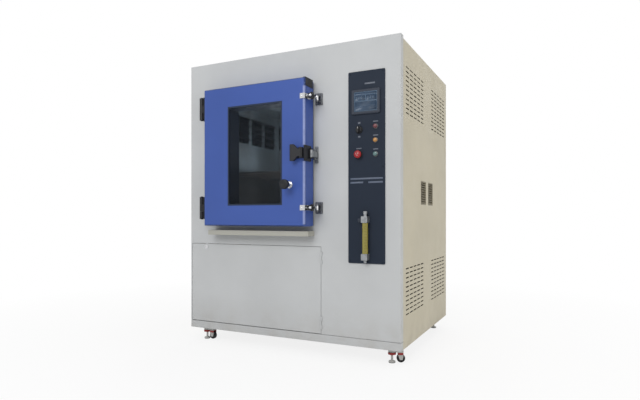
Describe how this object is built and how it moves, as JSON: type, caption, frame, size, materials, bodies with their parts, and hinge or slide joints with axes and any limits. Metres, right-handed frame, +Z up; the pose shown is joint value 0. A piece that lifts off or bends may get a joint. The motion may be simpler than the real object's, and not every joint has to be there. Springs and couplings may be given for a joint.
{
  "type": "environmental test chamber",
  "caption": "Free-standing sand and dust test chamber on levelling casters, with a windowed clamped door, a window wiper, a control column and an air circuit.",
  "frame": {"origin": "on the floor, below the middle of the object's overall box", "axes": "+X to the object's right as seen from its front, +Y to its rear, +Z up; the door and the controls face -Y"},
  "size_m": [1.35, 1.27, 1.695],
  "materials": {
    "fascia_grey": "satin powder coat",
    "panel_beige": "fine-textured powder coat",
    "door_blue": "satin powder coat",
    "frame_steel": "grey primer",
    "stainless": "brushed stainless sheet",
    "galvanised": "bare zinc-coated sheet",
    "sill_metal": "pale powder coat",
    "black_fittings": "black powder coat",
    "black_plastic": "fine matt grain",
    "chrome": "polished plating",
    "fitting_zinc": "dull zinc plating",
    "rubber_dark": "matt",
    "window_glass": "clear",
    "column_dark": "fine-grained dark coat",
    "bezel_grey": "fine matt grain",
    "screen_blue": "glossy touch film",
    "lamp_green": "tinted lenses; the upper ones are dark red and yellow",
    "estop_red": "moulded gloss",
    "tube_yellow": "tinted clear tube",
    "motor_grey": "hammered enamel",
    "pump_dark": "dark enamel",
    "caster_cast": "cast body with a rubber foot and a red thumb wheel",
    "wheel_black": "moulded nylon"
  },
  "bodies": {
    "cabinet": {"base_frame": "fascia_grey", "inner_frame": "frame_steel", "front_fascia": "fascia_grey", "door_sill": "sill_metal", "left_side_panel": "panel_beige", "right_side_panel": "panel_beige", "side_grilles": "black_plastic", "rear_panel": "panel_beige", "top_cover": "fascia_grey", "chamber_liner": "stainless", "hopper": "stainless", "suction_pipe": "galvanised", "blower_housing": "galvanised", "blower_motor": "motor_grey", "supply_duct": "galvanised", "specimen_shelf": "stainless", "vacuum_pump": "pump_dark", "control_panel": "column_dark", "screen_bezel": "bezel_grey", "screen_glass": "screen_blue", "pilot_lamps": "lamp_green", "switch_collars": "black_plastic", "flowmeter_body": "chrome", "flowmeter_tube": "tube_yellow", "hinge_fixed_leaves": "black_fittings", "clamp_brackets": "fitting_zinc", "latch_keeper": "fitting_zinc", "caster_plates": "galvanised"},
    "door": {"door_shell": "door_blue", "door_inner_pan": "stainless", "door_gasket": "rubber_dark", "window_panes": "window_glass", "window_trim": "rubber_dark", "hinge_moving_leaves": "black_fittings", "latch_case": "black_fittings", "clamp_lugs": "chrome", "wiper_bush": "chrome"},
    "wiper": {"wiper_knob": "black_plastic", "wiper_arm": "stainless"},
    "latch_lever": {"latch_lever": "black_plastic"},
    "latch_hook": {"latch_hook": "fitting_zinc"},
    "clamp_bolt_upper": {"clamp_bolt_upper": "chrome"},
    "clamp_bolt_lower": {"clamp_bolt_lower": "chrome"},
    "clamp_knob_upper": {"clamp_knob_upper": "black_plastic"},
    "clamp_knob_lower": {"clamp_knob_lower": "black_plastic"},
    "selector_knob": {"selector_knob": "black_plastic"},
    "estop_button": {"estop_button": "estop_red"},
    "flow_valve_knob": {"flow_valve_knob": "bezel_grey"},
    "flow_float": {"flow_float": "estop_red"},
    "service_panel": {"service_panel": "fascia_grey"},
    "service_lock": {"service_lock": "chrome"},
    "blower_impeller": {"blower_impeller": "galvanised"},
    "caster_swivel_1": {"caster_swivel_1": "caster_cast"},
    "caster_wheel_1": {"caster_wheel_1": "wheel_black"},
    "caster_swivel_2": {"caster_swivel_2": "caster_cast"},
    "caster_wheel_2": {"caster_wheel_2": "wheel_black"},
    "caster_swivel_3": {"caster_swivel_3": "caster_cast"},
    "caster_wheel_3": {"caster_wheel_3": "wheel_black"},
    "caster_swivel_4": {"caster_swivel_4": "caster_cast"},
    "caster_wheel_4": {"caster_wheel_4": "wheel_black"}
  },
  "joints": [
    {"name": "door_hinge", "type": "hinge", "parent": "cabinet", "child": "door", "pos_m": [-0.519, -0.535, 1.1085], "axis": [0, 0, -1], "range_deg": [0, 110]},
    {"name": "latch_lever_turn", "type": "hinge", "parent": "door", "child": "latch_lever", "pos_m": [0.171, -0.583, 1.102], "axis": [0, 0, 1], "range_deg": [0, 40]},
    {"name": "latch_hook_turn", "type": "hinge", "parent": "door", "child": "latch_hook", "pos_m": [0.201, -0.517, 1.102], "axis": [0, 0, -1], "range_deg": [0, 32]},
    {"name": "clamp_swing_upper", "type": "hinge", "parent": "cabinet", "child": "clamp_bolt_upper", "pos_m": [0.215, -0.477, 1.405], "axis": [0, 0, 1], "range_deg": [0, 95]},
    {"name": "clamp_knob_turn_upper", "type": "hinge", "parent": "clamp_bolt_upper", "child": "clamp_knob_upper", "pos_m": [0.215, -0.541, 1.405], "axis": [0, -1, 0], "range_deg": [0, 1080]},
    {"name": "clamp_swing_lower", "type": "hinge", "parent": "cabinet", "child": "clamp_bolt_lower", "pos_m": [0.215, -0.477, 0.812], "axis": [0, 0, 1], "range_deg": [0, 95]},
    {"name": "clamp_knob_turn_lower", "type": "hinge", "parent": "clamp_bolt_lower", "child": "clamp_knob_lower", "pos_m": [0.215, -0.541, 0.812], "axis": [0, -1, 0], "range_deg": [0, 1080]},
    {"name": "wiper_turn", "type": "hinge", "parent": "door", "child": "wiper", "pos_m": [0.095, -0.505, 0.935], "axis": [0, -1, 0], "range_deg": [0, 95]},
    {"name": "selector_turn", "type": "hinge", "parent": "cabinet", "child": "selector_knob", "pos_m": [0.45, -0.457, 1.22], "axis": [0, 1, 0], "range_deg": [-45, 45]},
    {"name": "estop_press", "type": "slide", "parent": "cabinet", "child": "estop_button", "axis": [0, 1, 0], "range_m": [0, 0.006]},
    {"name": "flow_valve_turn", "type": "hinge", "parent": "cabinet", "child": "flow_valve_knob", "pos_m": [0.4655, -0.471, 0.745], "axis": [1, 0, 0], "range_deg": [0, 720]},
    {"name": "flow_float_rise", "type": "slide", "parent": "cabinet", "child": "flow_float", "axis": [0, 0, 1], "range_m": [0, 0.12]},
    {"name": "service_panel_hinge", "type": "hinge", "parent": "cabinet", "child": "service_panel", "pos_m": [0.225, -0.451, 0.36], "axis": [0, 0, 1], "range_deg": [0, 110]},
    {"name": "service_lock_turn", "type": "hinge", "parent": "service_panel", "child": "service_lock", "pos_m": [-0.555, -0.445, 0.58], "axis": [0, -1, 0], "range_deg": [0, 90]},
    {"name": "blower_spin", "type": "hinge", "parent": "cabinet", "child": "blower_impeller", "pos_m": [-0.3745, -0.01, 0.264], "axis": [1, 0, 0], "continuous": true},
    {"name": "caster_swivel_turn_1", "type": "hinge", "parent": "cabinet", "child": "caster_swivel_1", "pos_m": [-0.605, -0.377, 0.05], "axis": [0, 0, 1], "continuous": true},
    {"name": "caster_wheel_spin_1", "type": "hinge", "parent": "caster_swivel_1", "child": "caster_wheel_1", "pos_m": [-0.559, -0.377, 0.024], "axis": [0, 1, 0], "continuous": true},
    {"name": "caster_swivel_turn_2", "type": "hinge", "parent": "cabinet", "child": "caster_swivel_2", "pos_m": [0.605, -0.377, 0.05], "axis": [0, 0, 1], "continuous": true},
    {"name": "caster_wheel_spin_2", "type": "hinge", "parent": "caster_swivel_2", "child": "caster_wheel_2", "pos_m": [0.64669, -0.35756, 0.024], "axis": [-0.4226, 0.9063, 0], "continuous": true},
    {"name": "caster_swivel_turn_3", "type": "hinge", "parent": "cabinet", "child": "caster_swivel_3", "pos_m": [0.605, 0.543, 0.05], "axis": [0, 0, 1], "continuous": true},
    {"name": "caster_wheel_spin_3", "type": "hinge", "parent": "caster_swivel_3", "child": "caster_wheel_3", "pos_m": [0.582, 0.50316, 0.024], "axis": [0.866, -0.5, 0], "continuous": true},
    {"name": "caster_swivel_turn_4", "type": "hinge", "parent": "cabinet", "child": "caster_swivel_4", "pos_m": [-0.605, 0.543, 0.05], "axis": [0, 0, 1], "continuous": true},
    {"name": "caster_wheel_spin_4", "type": "hinge", "parent": "caster_swivel_4", "child": "caster_wheel_4", "pos_m": [-0.64484, 0.566, 0.024], "axis": [-0.5, -0.866, 0], "continuous": true}
  ],
  "couplings": [
    {"joint": "latch_hook_turn", "follows": "latch_lever_turn", "ratio": 0.8}
  ]
}
